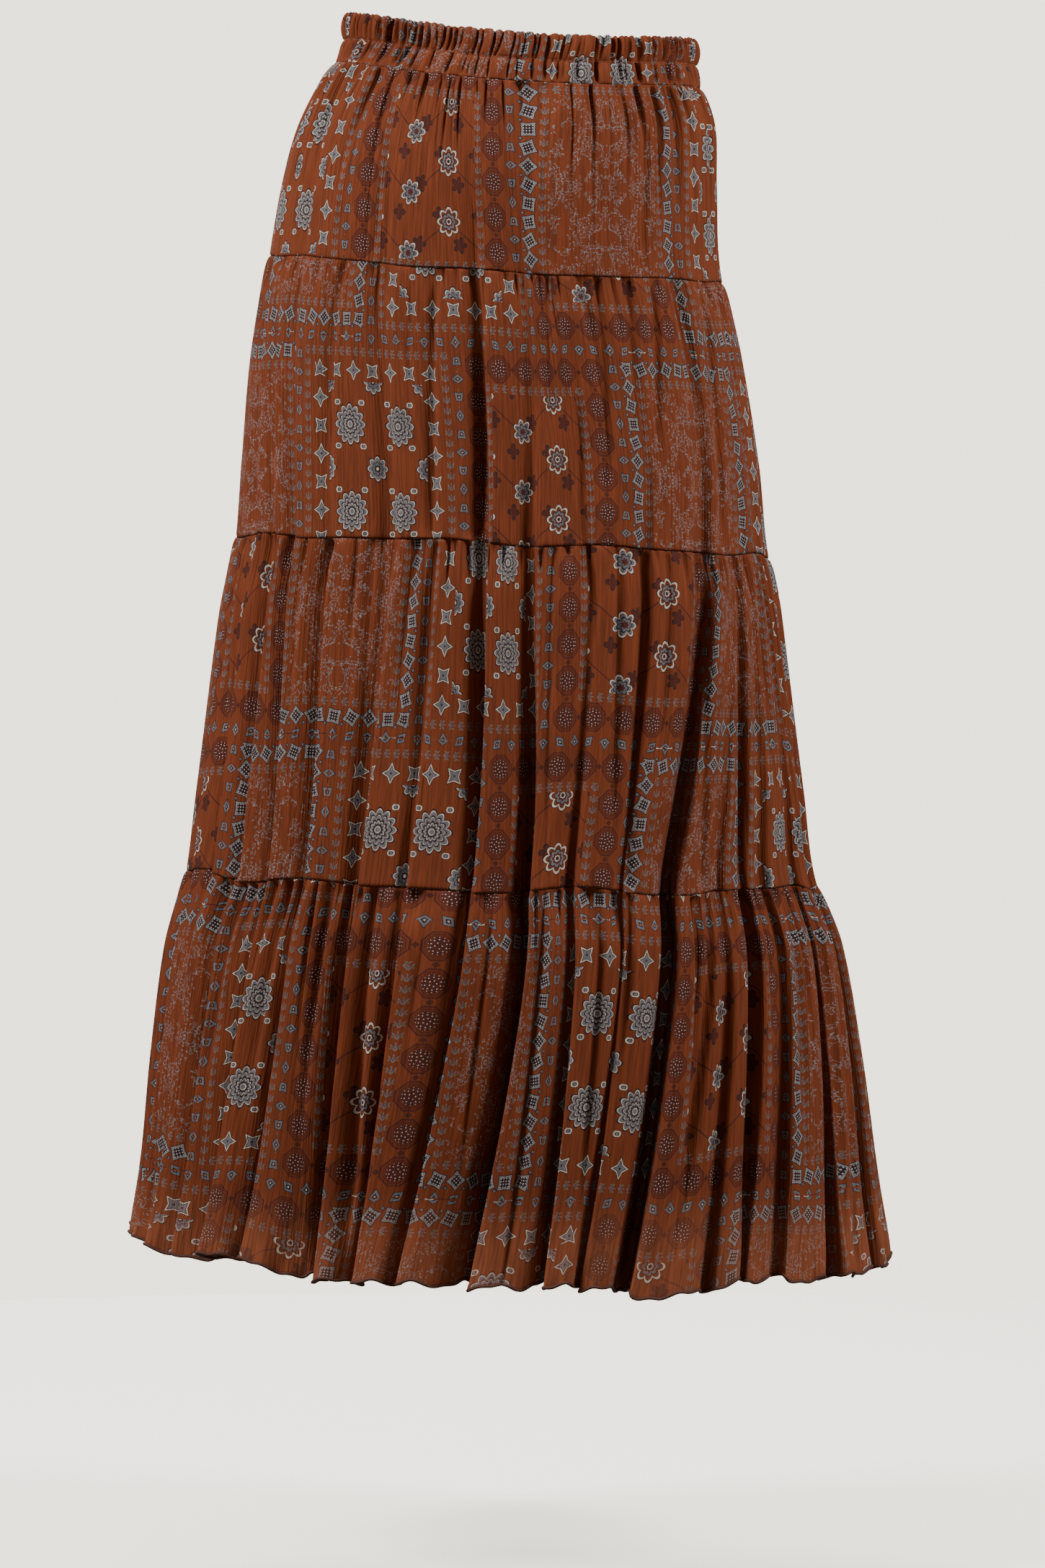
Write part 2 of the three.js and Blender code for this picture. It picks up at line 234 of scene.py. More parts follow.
RUST = "#6f3216"
SLATE = "#676468"
PALE = "#bfae9f"
INK = "#2b1a20"
MAROON = "#4b1f18"
BROWN = "#4a2013"
GREY = "#666468"
OLIVE = "#6a5f45"
ASH = "#7c797b"
UMBER = "#622a14"
BLOCK_WIDTH = 162
BLOCK_HEIGHT = 189
DIAMOND, MEDALLION, ROSETTE, SPRIG, STAR, FLOWERS, SCROLLS, WHEELS = range(8)


def printed_colour(tree):
    """Colour of the printed cloth from its cut coordinates. A point's distance in from the
    edge of its block chooses the row of the frame, and the place along that edge, folded
    to the row's pitch, gives the motif's own coordinates."""
    place = add(tree, "UVMap", uv_map="cut")
    place = add(tree, "VectorMath", place, (1000, 1000, 1000), operation="MULTIPLY")
    u = add(tree, "SeparateXYZ", place)
    v = u.node.outputs[1]
    down = add(tree, "Math", v, BLOCK_HEIGHT, operation="DIVIDE")
    block_row = add(tree, "Math", down, operation="FLOOR")
    shifted = add(tree, "Math", block_row, BLOCK_WIDTH / 2, u, operation="MULTIPLY_ADD")
    across = add(tree, "Math", shifted, BLOCK_WIDTH, operation="DIVIDE")
    block_column = add(tree, "Math", across, operation="FLOOR")
    x = add(tree, "Math", add(tree, "Math", across, operation="FRACT"), 0.5, operation="SUBTRACT")
    y = add(tree, "Math", add(tree, "Math", down, operation="FRACT"), 0.5, operation="SUBTRACT")
    x = add(tree, "Math", x, BLOCK_WIDTH, operation="MULTIPLY")
    y = add(tree, "Math", y, BLOCK_HEIGHT, operation="MULTIPLY")
    kind = add(tree, "Math", block_row, 2, block_column, operation="MULTIPLY_ADD")
    kind = add(tree, "Math", kind, 3, operation="FLOORED_MODULO")

    in_x = add(tree, "Math", BLOCK_WIDTH / 2, add(tree, "Math", x, operation="ABSOLUTE"), operation="SUBTRACT")
    in_y = add(tree, "Math", BLOCK_HEIGHT / 2, add(tree, "Math", y, operation="ABSOLUTE"), operation="SUBTRACT")
    depth = add(tree, "Math", in_x, in_y, operation="MINIMUM")
    upright = add(tree, "Math", in_x, in_y, operation="LESS_THAN")
    flat = add(tree, "Math", 1, upright, operation="SUBTRACT")
    along = add(tree, "Math", x, flat, operation="MULTIPLY")
    along = add(tree, "Math", y, upright, along, operation="MULTIPLY_ADD")
    edge = add(tree, "Math", upright, (BLOCK_HEIGHT - BLOCK_WIDTH) / 2, BLOCK_WIDTH / 2, operation="MULTIPLY_ADD")

    # Rows of each kind of block: where it starts, its middle, its pitch, the motif and
    # how far each motif is turned from the last, as a share of a quarter turn
    rows = [
        [(0, 0, 13.5, DIAMOND, 0.5), (6, 17, 25, MEDALLION, 0),
         (28, 31.5, 8, SPRIG, 0), (35, 60, 30, FLOWERS, 0)],
        [(0, 0, 13.5, DIAMOND, 0.5), (6, 13, 14, ROSETTE, 0.22),
         (20, 23.5, 8, SPRIG, 0), (27, 60, 30, SCROLLS, 0)],
        [(0, 0, 13.5, DIAMOND, 0.5), (5.5, 10.5, 8, SPRIG, 0),
         (15.5, 24, 19, STAR, 0.5), (32, 60, 30, WHEELS, 0)],
    ]
    lookup = tree.nodes.new("ShaderNodeValToRGB")
    lookup.color_ramp.interpolation = "CONSTANT"
    stops = [(k + row[0] / 100, row) for k in range(3) for row in rows[k]]
    while len(lookup.color_ramp.elements) < len(stops):
        lookup.color_ramp.elements.new(1.0)
    for element, (start, row) in zip(lookup.color_ramp.elements, stops):
        element.position = start / 3
        element.color = (row[1] / 64, row[2] / 64, row[3] / 8, row[4])
    code = add(tree, "Math", depth, 0.01, kind, operation="MULTIPLY_ADD")
    code = add(tree, "Math", code, 1 / 3, operation="MULTIPLY")
    tree.links.new(code, lookup.inputs[0])
    middle = add(tree, "SeparateColor", lookup.outputs[0])
    pitch = add(tree, "Math", middle.node.outputs[1], 64, operation="MULTIPLY")
    motif = add(tree, "Math", middle.node.outputs[2], 8, operation="MULTIPLY")
    turn = lookup.outputs[1]
    middle = add(tree, "Math", middle, 64, operation="MULTIPLY")
    half = add(tree, "Math", edge, middle, operation="SUBTRACT")
    count = add(tree, "Math", half, 2, operation="MULTIPLY")
    count = add(tree, "Math", add(tree, "Math", count, pitch, operation="DIVIDE"), operation="ROUND")
    pitch = add(tree, "Math", add(tree, "Math", half, 2, operation="MULTIPLY"), count, operation="DIVIDE")
    step = add(tree, "Math", add(tree, "Math", along, half, operation="ADD"), pitch, operation="DIVIDE")
    number = add(tree, "Math", step, operation="ROUND")
    p = add(tree, "Math", add(tree, "Math", step, number, operation="SUBTRACT"), pitch, operation="MULTIPLY")
    q = add(tree, "Math", depth, middle, operation="SUBTRACT")
    turn = add(tree, "Math", add(tree, "Math", number, turn, operation="MULTIPLY"), math.pi / 2, operation="MULTIPLY")
    mx = add(tree, "Math", add(tree, "Math", p, flat, operation="MULTIPLY"),
             add(tree, "Math", q, upright, operation="MULTIPLY"), operation="ADD")
    my = add(tree, "Math", add(tree, "Math", p, upright, operation="MULTIPLY"),
             add(tree, "Math", q, flat, operation="MULTIPLY"), operation="ADD")
    point = add(tree, "CombineXYZ", mx, my)
    point = add(tree, "VectorRotate", point, None, None, turn, rotation_type="Z_AXIS")
    colour = add(tree, "RGB")
    colour.default_value = linear(RUST)

    # Small diamond of the block's edge, drawn long and short by turns
    size = add(tree, "VectorMath", point, operation="ABSOLUTE")
    ex = add(tree, "SeparateXYZ", size)
    ey = ex.node.outputs[1]
    field = add(tree, "Math", ex, 1 / 5.0, operation="MULTIPLY")
    field = add(tree, "Math", ey, 1 / 3.4, field, operation="MULTIPLY_ADD")
    here = add(tree, "Math", motif, DIAMOND, 0.2, operation="COMPARE")
    colour = paint_bands(tree, colour, field, here,
                         [(0, PALE), (0.2, INK), (0.5, SLATE), (1.0, INK), (1.16, None)])

    # Four-pointed star with a pale rim
    least = add(tree, "Math", ex, ey, operation="MINIMUM")
    field = add(tree, "Math", add(tree, "Math", ex, ey, operation="ADD"), least, operation="ADD")
    field = add(tree, "Math", field, 1 / 7.8, operation="MULTIPLY")
    here = add(tree, "Math", motif, STAR, 0.2, operation="COMPARE")
    colour = paint_bands(tree, colour, field, here,
                         [(0, INK), (0.16, SLATE), (0.64, INK), (0.76, PALE), (0.97, INK), (1.1, None)])

    # Square rosette with slightly hollow sides, dark inside with a grid of pale dots
    most = add(tree, "Math", ex, ey, operation="MAXIMUM")
    field = add(tree, "Math", least, -0.12, most, operation="MULTIPLY_ADD")
    field = add(tree, "Math", field, 1 / 4.6, operation="MULTIPLY")
    here = add(tree, "Math", motif, ROSETTE, 0.2, operation="COMPARE")
    colour = paint_bands(tree, colour, field, here, [(0, INK), (0.7, ASH), (0.93, INK), (1.05, None)])
    dots = add(tree, "VectorMath", point, (2.0, 2.0, 1), operation="MODULO")
    dots = add(tree, "VectorMath", add(tree, "VectorMath", dots, operation="ABSOLUTE"), (1.0, 1.0, 0),
               operation="DISTANCE")
    field = add(tree, "Math", field, 0.66, operation="LESS_THAN")
    here = add(tree, "Math", here, field, operation="MULTIPLY")
    dots = dots.node.outputs[1]
    colour = paint_bands(tree, colour, dots, here, [(0, PALE), (0.38, ASH), (0.55, None)])

    # Medallion: an eight-sided line round a dark rosette with two rings of pale dots
    skew = add(tree, "Math", add(tree, "Math", ex, ey, operation="ADD"), 0.75, operation="MULTIPLY")
    field = add(tree, "Math", add(tree, "Math", most, skew, operation="MAXIMUM"), 1 / 10.2, operation="MULTIPLY")
    here = add(tree, "Math", motif, MEDALLION, 0.2, operation="COMPARE")
    colour = paint_bands(tree, colour, field, here,
                         [(0, MAROON), (0.64, UMBER), (0.74, BROWN), (0.79, UMBER), (0.92, MAROON), (1.03, None)])
    r = add(tree, "VectorMath", point, operation="LENGTH").node.outputs[1]
    a = add(tree, "Math", my, mx, operation="ARCTAN2")
    for dot_count, ring, dot_size in ((5, 2.0, 0.5), (10, 4.4, 0.5), (14, 6.0, 0.35)):
        slice_at = add(tree, "Math", a, dot_count / (2 * math.pi), operation="MULTIPLY")
        slice_at = add(tree, "Math", add(tree, "Math", slice_at, operation="FRACT"), 0.5, operation="SUBTRACT")
        off = add(tree, "Math", slice_at, 2 * math.pi * ring / dot_count, operation="MULTIPLY")
        radial = add(tree, "Math", r, ring, operation="SUBTRACT")
        dot = add(tree, "VectorMath", add(tree, "CombineXYZ", off, radial), operation="LENGTH").node.outputs[1]
        dot = add(tree, "Math", dot, 1 / dot_size, operation="MULTIPLY")
        colour = paint_bands(tree, colour, dot, here, [(0, PALE), (0.8, BROWN), (1.2, None)])

    # Links of the medallion chain and tiny diamonds between the rosettes, half a pitch on
    gap = add(tree, "Math", add(tree, "Math", p, operation="ABSOLUTE"), -1, operation="MULTIPLY")
    gap = add(tree, "Math", pitch, 0.5, gap, operation="MULTIPLY_ADD")
    for shape, aside, reach, bands in (
        (MEDALLION, 0, 2.2, [(0, MAROON), (0.5, BROWN), (1.0, None)]),
        (ROSETTE, 5.2, 1.9, [(0, SLATE), (0.6, INK), (1.0, None)]),
    ):
        here = add(tree, "Math", motif, shape, 0.2, operation="COMPARE")
        off = add(tree, "Math", add(tree, "Math", q, aside, operation="ADD"), operation="ABSOLUTE")
        field = add(tree, "Math", add(tree, "Math", gap, off, operation="ADD"), 1 / reach, operation="MULTIPLY")
        colour = paint_bands(tree, colour, field, here, bands)

    # Sprig: three leaves from one foot, two aslant and one straight, and olive buds beside
    wide = add(tree, "Math", q, operation="ABSOLUTE")
    here = add(tree, "Math", motif, SPRIG, 0.2, operation="COMPARE")
    lean = math.radians(58)
    above_foot = add(tree, "Math", p, 3.2, operation="ADD")
    down_leaf = add(tree, "Math", above_foot, math.sin(lean), operation="MULTIPLY")
    down_leaf = add(tree, "Math", down_leaf, -2.8, operation="ADD")
    down_leaf = add(tree, "Math", wide, math.cos(lean), down_leaf, operation="MULTIPLY_ADD")
    over_leaf = add(tree, "Math", above_foot, math.cos(lean), operation="MULTIPLY")
    over_leaf = add(tree, "Math", wide, -math.sin(lean), over_leaf, operation="MULTIPLY_ADD")
    leaf = add(tree, "CombineXYZ", down_leaf, over_leaf)
    leaf = add(tree, "VectorMath", leaf, (1 / 2.8, 1 / 0.5, 0), operation="MULTIPLY")
    leaf = add(tree, "VectorMath", leaf, operation="LENGTH").node.outputs[1]
    colour = paint_bands(tree, colour, leaf, here, [(0, INK), (0.35, SLATE), (1.0, None)])
    for aside, ahead, half_wide, half_long, bands in (
        (0, 0.6, 0.42, 2.0, [(0, INK), (0.35, SLATE), (1.0, None)]),
        (2.6, -1.5, 0.45, 0.9, [(0, OLIVE), (1.0, None)]),
    ):
        off = add(tree, "Math", wide, aside, operation="SUBTRACT")
        bud = add(tree, "CombineXYZ", off, add(tree, "Math", p, ahead, operation="SUBTRACT"))
        bud = add(tree, "VectorMath", bud, (1 / half_wide, 1 / half_long, 0), operation="MULTIPLY")
        bud = add(tree, "VectorMath", bud, operation="LENGTH").node.outputs[1]
        colour = paint_bands(tree, colour, bud, here, bands)

    # Flower panel: pale-edged flowers on a wandering stem, with maroon four-leaf sprays
    here = add(tree, "Math", motif, FLOWERS, 0.2, operation="COMPARE")
    stem = add(tree, "Math", add(tree, "Math", x, 2 * math.pi / 74, operation="MULTIPLY"), operation="SINE")
    stem = add(tree, "Math", stem, -9, y, operation="MULTIPLY_ADD")
    stem = add(tree, "Math", stem, 22, operation="PINGPONG")
    colour = paint_bands(tree, colour, stem, here, [(0, MAROON), (0.6, None)])
    for pitch_x, pitch_y, shift, petals, hollow, reach, bands in (
        (37, 44, (9, 4), 2, 0.55, 6.0, [(0, BROWN), (0.18, MAROON), (0.5, BROWN), (0.82, INK), (1.0, None)]),
        (37, 44, (27, 26), 2.5, 0.5, 6.5, [(0, BROWN), (0.18, MAROON), (0.55, BROWN), (0.84, INK), (1.0, None)]),
        (74, 44, (18, 9), 4, 0.3, 11, [(0, INK), (0.14, PALE), (0.22, MAROON), (0.38, SLATE), (0.56, INK),
                                       (0.64, RUST), (0.76, INK), (0.82, PALE), (0.98, INK), (1.05, None)]),
        (74, 44, (55, 33), 3.5, 0.42, 9.5, [(0, MAROON), (0.3, SLATE), (0.5, INK), (0.62, SLATE), (0.76, INK),
                                            (0.82, PALE), (0.98, INK), (1.06, None)]),
    ):
        corner = add(tree, "VectorMath", add(tree, "CombineXYZ", x, y), (*shift, 0), operation="ADD")
        cell = add(tree, "VectorMath", corner, (pitch_x, pitch_y, 1), operation="DIVIDE")
        cell = add(tree, "VectorMath", cell, operation="FRACTION")
        cell = add(tree, "VectorMath", cell, (0.5, 0.5, 0), operation="SUBTRACT")
        cell = add(tree, "VectorMath", cell, (pitch_x, pitch_y, 0), operation="MULTIPLY")
        fx = add(tree, "SeparateXYZ", cell)
        swing = add(tree, "Math", fx.node.outputs[1], fx, operation="ARCTAN2")
        swing = add(tree, "Math", add(tree, "Math", swing, petals, operation="MULTIPLY"), operation="COSINE")
        swing = add(tree, "Math", swing, operation="ABSOLUTE")
        rim = add(tree, "Math", swing, hollow, 1 - hollow, operation="MULTIPLY_ADD")
        field = add(tree, "VectorMath", cell, operation="LENGTH").node.outputs[1]
        field = add(tree, "Math", add(tree, "Math", field, 1 / reach, operation="MULTIPLY"), rim, operation="DIVIDE")
        colour = paint_bands(tree, colour, field, here, bands)

    # Scroll panel: fine grey foliage, the same on both sides of the panel's middle lines
    here = add(tree, "Math", motif, SCROLLS, 0.2, operation="COMPARE")
    mirrored = add(tree, "CombineXYZ", in_x, in_y)
    curl = add(tree, "VectorMath", mirrored, (1 / 17, 1 / 17, 1), operation="MULTIPLY")
    curl = add(tree, "TexNoise", curl, None, 1.0, 1.0, 0.5, None, None, 1.8, noise_dimensions="2D")
    curl = add(tree, "Math", add(tree, "Math", curl, 0.5, operation="SUBTRACT"), operation="ABSOLUTE")
    curl = add(tree, "Math", curl, 14, operation="MULTIPLY")
    frill = add(tree, "VectorMath", mirrored, (1 / 2.6, 1 / 2.6, 1), operation="MULTIPLY")
    frill = add(tree, "TexNoise", frill, None, 1.0, 1.0, 0.5, noise_dimensions="2D")
    field = add(tree, "Math", add(tree, "Math", frill, 0.5, operation="SUBTRACT"), 8, curl, operation="MULTIPLY_ADD")
    cluster = add(tree, "VectorMath", mirrored, (1 / 13, 1 / 13, 1), operation="MULTIPLY")
    cluster = add(tree, "TexNoise", cluster, None, 1.0, 0.0, 0.5, noise_dimensions="2D")
    field = add(tree, "Math", cluster, 5, field, operation="MULTIPLY_ADD")
    field = add(tree, "Math", field, -2.1, operation="ADD")
    colour = paint_bands(tree, colour, field, here, [(0, RUST), (0.1, ASH), (0.66, None)])

    # Rosette panel: wheels of pale and slate petals, with blobs in the corners between them
    here = add(tree, "Math", motif, WHEELS, 0.2, operation="COMPARE")
    for pitch_x, pitch_y, shift, petals, hollow, reach, bands in (
        (24.5, 31.5, (0, 0), 1, 0.4, 3.0, [(0, GREY), (0.4, INK), (0.6, PALE), (1.0, INK), (1.15, None)]),
        (49, 63, (24.5, 31.5), 4, 0.3, 9.5, [(0, PALE), (0.14, INK), (0.3, GREY), (0.48, INK), (0.56, SLATE),
                                            (0.85, PALE), (0.94, INK), (1.06, None)]),
        (49, 63, (0, 0), 6, 0.25, 15.5, [(0, GREY), (0.12, PALE), (0.17, INK), (0.27, GREY), (0.36, PALE), (0.4, INK),
                                       (0.5, SLATE), (0.63, PALE), (0.66, INK), (0.74, GREY), (0.89, PALE),
                                       (0.95, INK), (1.03, None)]),
    ):
        cell = add(tree, "VectorMath", add(tree, "CombineXYZ", x, y), (*shift, 0), operation="ADD")
        cell = add(tree, "VectorMath", cell, (pitch_x, pitch_y, 1), operation="DIVIDE")
        cell = add(tree, "VectorMath", cell, operation="FRACTION")
        cell = add(tree, "VectorMath", cell, (0.5, 0.5, 0), operation="SUBTRACT")
        cell = add(tree, "VectorMath", cell, (pitch_x, pitch_y, 0), operation="MULTIPLY")
        fx = add(tree, "SeparateXYZ", cell)
        swing = add(tree, "Math", fx.node.outputs[1], fx, operation="ARCTAN2")
        ring = add(tree, "Math", add(tree, "Math", swing, petals, operation="MULTIPLY"), operation="COSINE")
        rim = add(tree, "Math", add(tree, "Math", ring, operation="ABSOLUTE"), hollow, 1 - hollow,
                  operation="MULTIPLY_ADD")
        field = add(tree, "VectorMath", cell, operation="LENGTH").node.outputs[1]
        field = add(tree, "Math", add(tree, "Math", field, 1 / reach, operation="MULTIPLY"), rim, operation="DIVIDE")
        colour = paint_bands(tree, colour, field, here, bands)
    return colour


# Painted light from the pale room showing through the cloth above the hem: the heights in metres where it starts and
# ends, and how much it pales the colour.
BACKLIT_PAINT_TOP = -0.812
BACKLIT_PAINT_FOOT = -0.85
BACKLIT_PAINT_SHARE = 0.2


def cloth_material(name):
    """Matt crinkled cloth: the print, and upright crinkles about 2 mm apart and 40 mm
    long that tilt the surface, with painted shade in their hollows and painted light on
    their crests. The last few centimetres above the hem are painted paler, as painted
    light from the pale room showing through the thin cloth."""
    material = bpy.data.materials.new(name)
    material.use_nodes = True
    tree = material.node_tree
    shader = tree.nodes["Principled BSDF"]
    shader.inputs["Roughness"].default_value = 0.9
    shader.inputs["Specular IOR Level"].default_value = 0.25
    place = add(tree, "UVMap", uv_map="cut")
    stretched = add(tree, "VectorMath", place, (1 / 0.0022, 1 / 0.04, 1), operation="MULTIPLY")
    crinkle = add(tree, "TexNoise", stretched, None, 1.0, 2.0, 0.6, noise_dimensions="2D")
    bump = add(tree, "Bump", 0.9, 0.0009, None, crinkle)
    tree.links.new(bump, shader.inputs["Normal"])
    # Painted shade and light: the crinkle noise scales the colour, darker in its hollows and brighter on its crests.
    shade = add(tree, "MapRange", crinkle, 0.3, 0.7, 0.7, 1.12)
    # Painted light: the last few centimetres above the hem are mixed towards a pale rust, for the pale room showing
    # through the thin cloth.
    height = add(tree, "SeparateXYZ", add(tree, "TexCoord").node.outputs["Object"]).node.outputs[2]
    painted_backlight = add(tree, "MapRange", height, BACKLIT_PAINT_TOP, BACKLIT_PAINT_FOOT, 0, BACKLIT_PAINT_SHARE)
    colour = add(tree, "MixRGB", painted_backlight, printed_colour(tree), linear("#b66f50"))
    colour = add(tree, "VectorMath", colour, operation="SCALE")
    tree.links.new(shade, colour.node.inputs["Scale"])
    tree.links.new(colour, shader.inputs["Base Color"])
    return material


crinkle_rayon = cloth_material("crinkle_rayon")

# Waistband
# One strip folded over elastic and stitched along its middle into two channels, so each
# channel puffs out and the cloth stands in fine gathers, closer and deeper than below.
BAND_TOP = 17
BAND_FOOT = -19
UPPER_CHANNEL = 0.55
CHANNEL_PUFF = 2.6
BAND_CUT = 560
BAND_THICKNESS = 1.2
BAND_PLEATS = 70


def sheet_mesh(name, points, across, down, thickness):
    """Cloth as a grid of points in millimetres, rows from the top down, with the place on
    the printed cloth in metres as its UV map, and a thickness added on the inside."""
    rows, columns = points.shape[:2]
    index = np.arange(rows * columns).reshape(rows, columns)
    quads = np.stack([index[:-1, :-1], index[1:, :-1], index[1:, 1:], index[:-1, 1:]], axis=-1)
    mesh = bpy.data.meshes.new(name)
    mesh.from_pydata((points.reshape(-1, 3) * MM).tolist(), [], quads.reshape(-1, 4).tolist())
    place = np.stack([across.ravel(), down.ravel()], axis=-1) * MM
    layer = mesh.uv_layers.new(name="cut")
    layer.data.foreach_set("uv", place[quads.ravel()].astype(np.float32).ravel())
    mesh.polygons.foreach_set("use_smooth", np.ones(len(mesh.polygons), bool))
    mesh.update()
    piece = bpy.data.objects.new(name, mesh)
    bpy.context.scene.collection.objects.link(piece)
    shell = piece.modifiers.new("thickness", "SOLIDIFY")
    shell.thickness = thickness * MM
    shell.offset = -1
    return piece


rng = np.random.default_rng(7)
band_share = np.concatenate([np.linspace(0, 0.55, 17), np.linspace(0.55, 1, 15)[1:]])
band_pleats = {}
notches = {}
for side in ("back", "front"):
    column = np.linspace(0, 1, 401)
    angle = np.repeat(column_angles(side, [0], 0, column), len(band_share), axis=0)
    share = band_share[:, None] + 0 * angle
    foot = height_at(0, angle) + 0.05
    upper = share < UPPER_CHANNEL
    across = np.where(upper, share / UPPER_CHANNEL, (share - UPPER_CHANNEL) / (1 - UPPER_CHANNEL))
    bulge = np.sin(np.pi * np.clip(across, 0, 1)) ** 0.6
    bulge = bulge * np.where(upper, 1, 0.85 - 0.4 * across)
    cut = column[None, :] * BAND_CUT + 0 * angle
    pleats = np.zeros_like(cut)
    band_pleats[side] = []
    for k in range(BAND_PLEATS):
        place = (k + rng.uniform(-0.4, 0.4)) * BAND_CUT / BAND_PLEATS
        upper_depth, lower_depth = rng.uniform(1.8, 7.2, 2)
        slip = rng.uniform(-3, 3)
        lean = rng.uniform(-0.16, 0.16)
        width = rng.uniform(1.5, 3.0)
        off = (cut - place - slip * np.where(upper, 0, 1) - lean * 36 * share) / width
        pleats -= np.where(upper, upper_depth, lower_depth) * np.exp(-np.abs(off) ** 1.6)
        band_pleats[side].append((place + slip + lean * 36, lower_depth, width))
    top_edge = BAND_TOP + 0.3 * np.maximum(pleats, -6) * (share < 0.1)
    z = foot + (top_edge - BAND_FOOT) * (1 - share)
    sewn_down = share**8
    out_by = (CHANNEL_PUFF + pleats * 0.8) * bulge + pleats * 0.25 * (1 - sewn_down) - (1 - bulge)
    points = folded_point(0 * z, z, angle, out_by)
    notches[side] = points[16]
    band = sheet_mesh(f"waistband_{side}_cloth", points, cut + 30, 95 - share * 40, BAND_THICKNESS)
    band.data.materials.append(crinkle_rayon)
    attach(band, "root")
    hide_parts(f"waistband_{side}")

# Band stitching
# A row of lockstitch along the notch between the two channels holds the elastic. Each
# stitch is a short thread that dips into the cloth at both ends.
STITCH_PITCH = 3.2
STITCH_LENGTH = 2.5
THREAD_RADIUS = 0.3


def stitches_mesh(name, line, pitch, length, radius, sides):
    """Stitches along a line of points: every pitch a thread of three rings, its ends
    sunk by a thread's radius and its middle lifted by as much."""
    run = np.concatenate([[0], np.cumsum(np.linalg.norm(np.diff(line, axis=0), axis=1))])
    starts = np.arange(pitch, run[-1] - pitch, pitch)
    places = starts[:, None] + np.array([0, 0.5, 1])[None, :] * length
    centre = np.stack([np.interp(places, run, line[:, axis]) for axis in range(3)], axis=-1)
    along = centre[:, 2:] - centre[:, :1]
    along /= np.linalg.norm(along, axis=-1, keepdims=True)
    outward = np.cross(along, [0, 0, 1])
    outward *= np.sign(np.sum(outward[..., :2] * centre[:, 1:2, :2], axis=-1))[..., None]
    outward /= np.linalg.norm(outward, axis=-1, keepdims=True)
    centre = centre + outward * radius * np.array([-1, 1.2, -1])[None, :, None]
    upright = np.cross(outward, along)
    turn = np.linspace(0, 2 * np.pi, sides, endpoint=False)[None, None, :, None]
    around = np.cos(turn) * outward[:, :, None] + np.sin(turn) * upright[:, :, None]
    points = centre[:, :, None] + radius * around
    index = np.arange(points[..., 0].size).reshape(len(starts), 3, sides)
    beside = np.roll(index, -1, axis=2)
    quads = np.stack([index[:, :-1], index[:, 1:], beside[:, 1:], beside[:, :-1]], axis=-1).reshape(-1, 4)
    ends = index[:, 0].tolist() + index[:, 2, ::-1].tolist()
    mesh = bpy.data.meshes.new(name)
    mesh.from_pydata((points.reshape(-1, 3) * MM).tolist(), [], quads.tolist() + ends)
    mesh.update()
    piece = bpy.data.objects.new(name, mesh)
    bpy.context.scene.collection.objects.link(piece)
    return piece


sewing_thread = bpy.data.materials.new("spun_thread")
sewing_thread.use_nodes = True
thread_shader = sewing_thread.node_tree.nodes["Principled BSDF"]
thread_shader.inputs["Roughness"].default_value = 0.6
thread_place = add(sewing_thread.node_tree, "TexCoord").node.outputs["Object"]
twist = add(sewing_thread.node_tree, "TexNoise", thread_place, None, 3000.0, 1.0)
twist = add(sewing_thread.node_tree, "MixRGB", twist, linear("#4d2411"), linear("#8a4a2a"))
sewing_thread.node_tree.links.new(twist, thread_shader.inputs["Base Color"])
for side, line in notches.items():
    seam_row = stitches_mesh(f"band_stitches_{side}", line, STITCH_PITCH, STITCH_LENGTH, THREAD_RADIUS, 5)
    seam_row.data.materials.append(sewing_thread)
    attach(seam_row, "root")

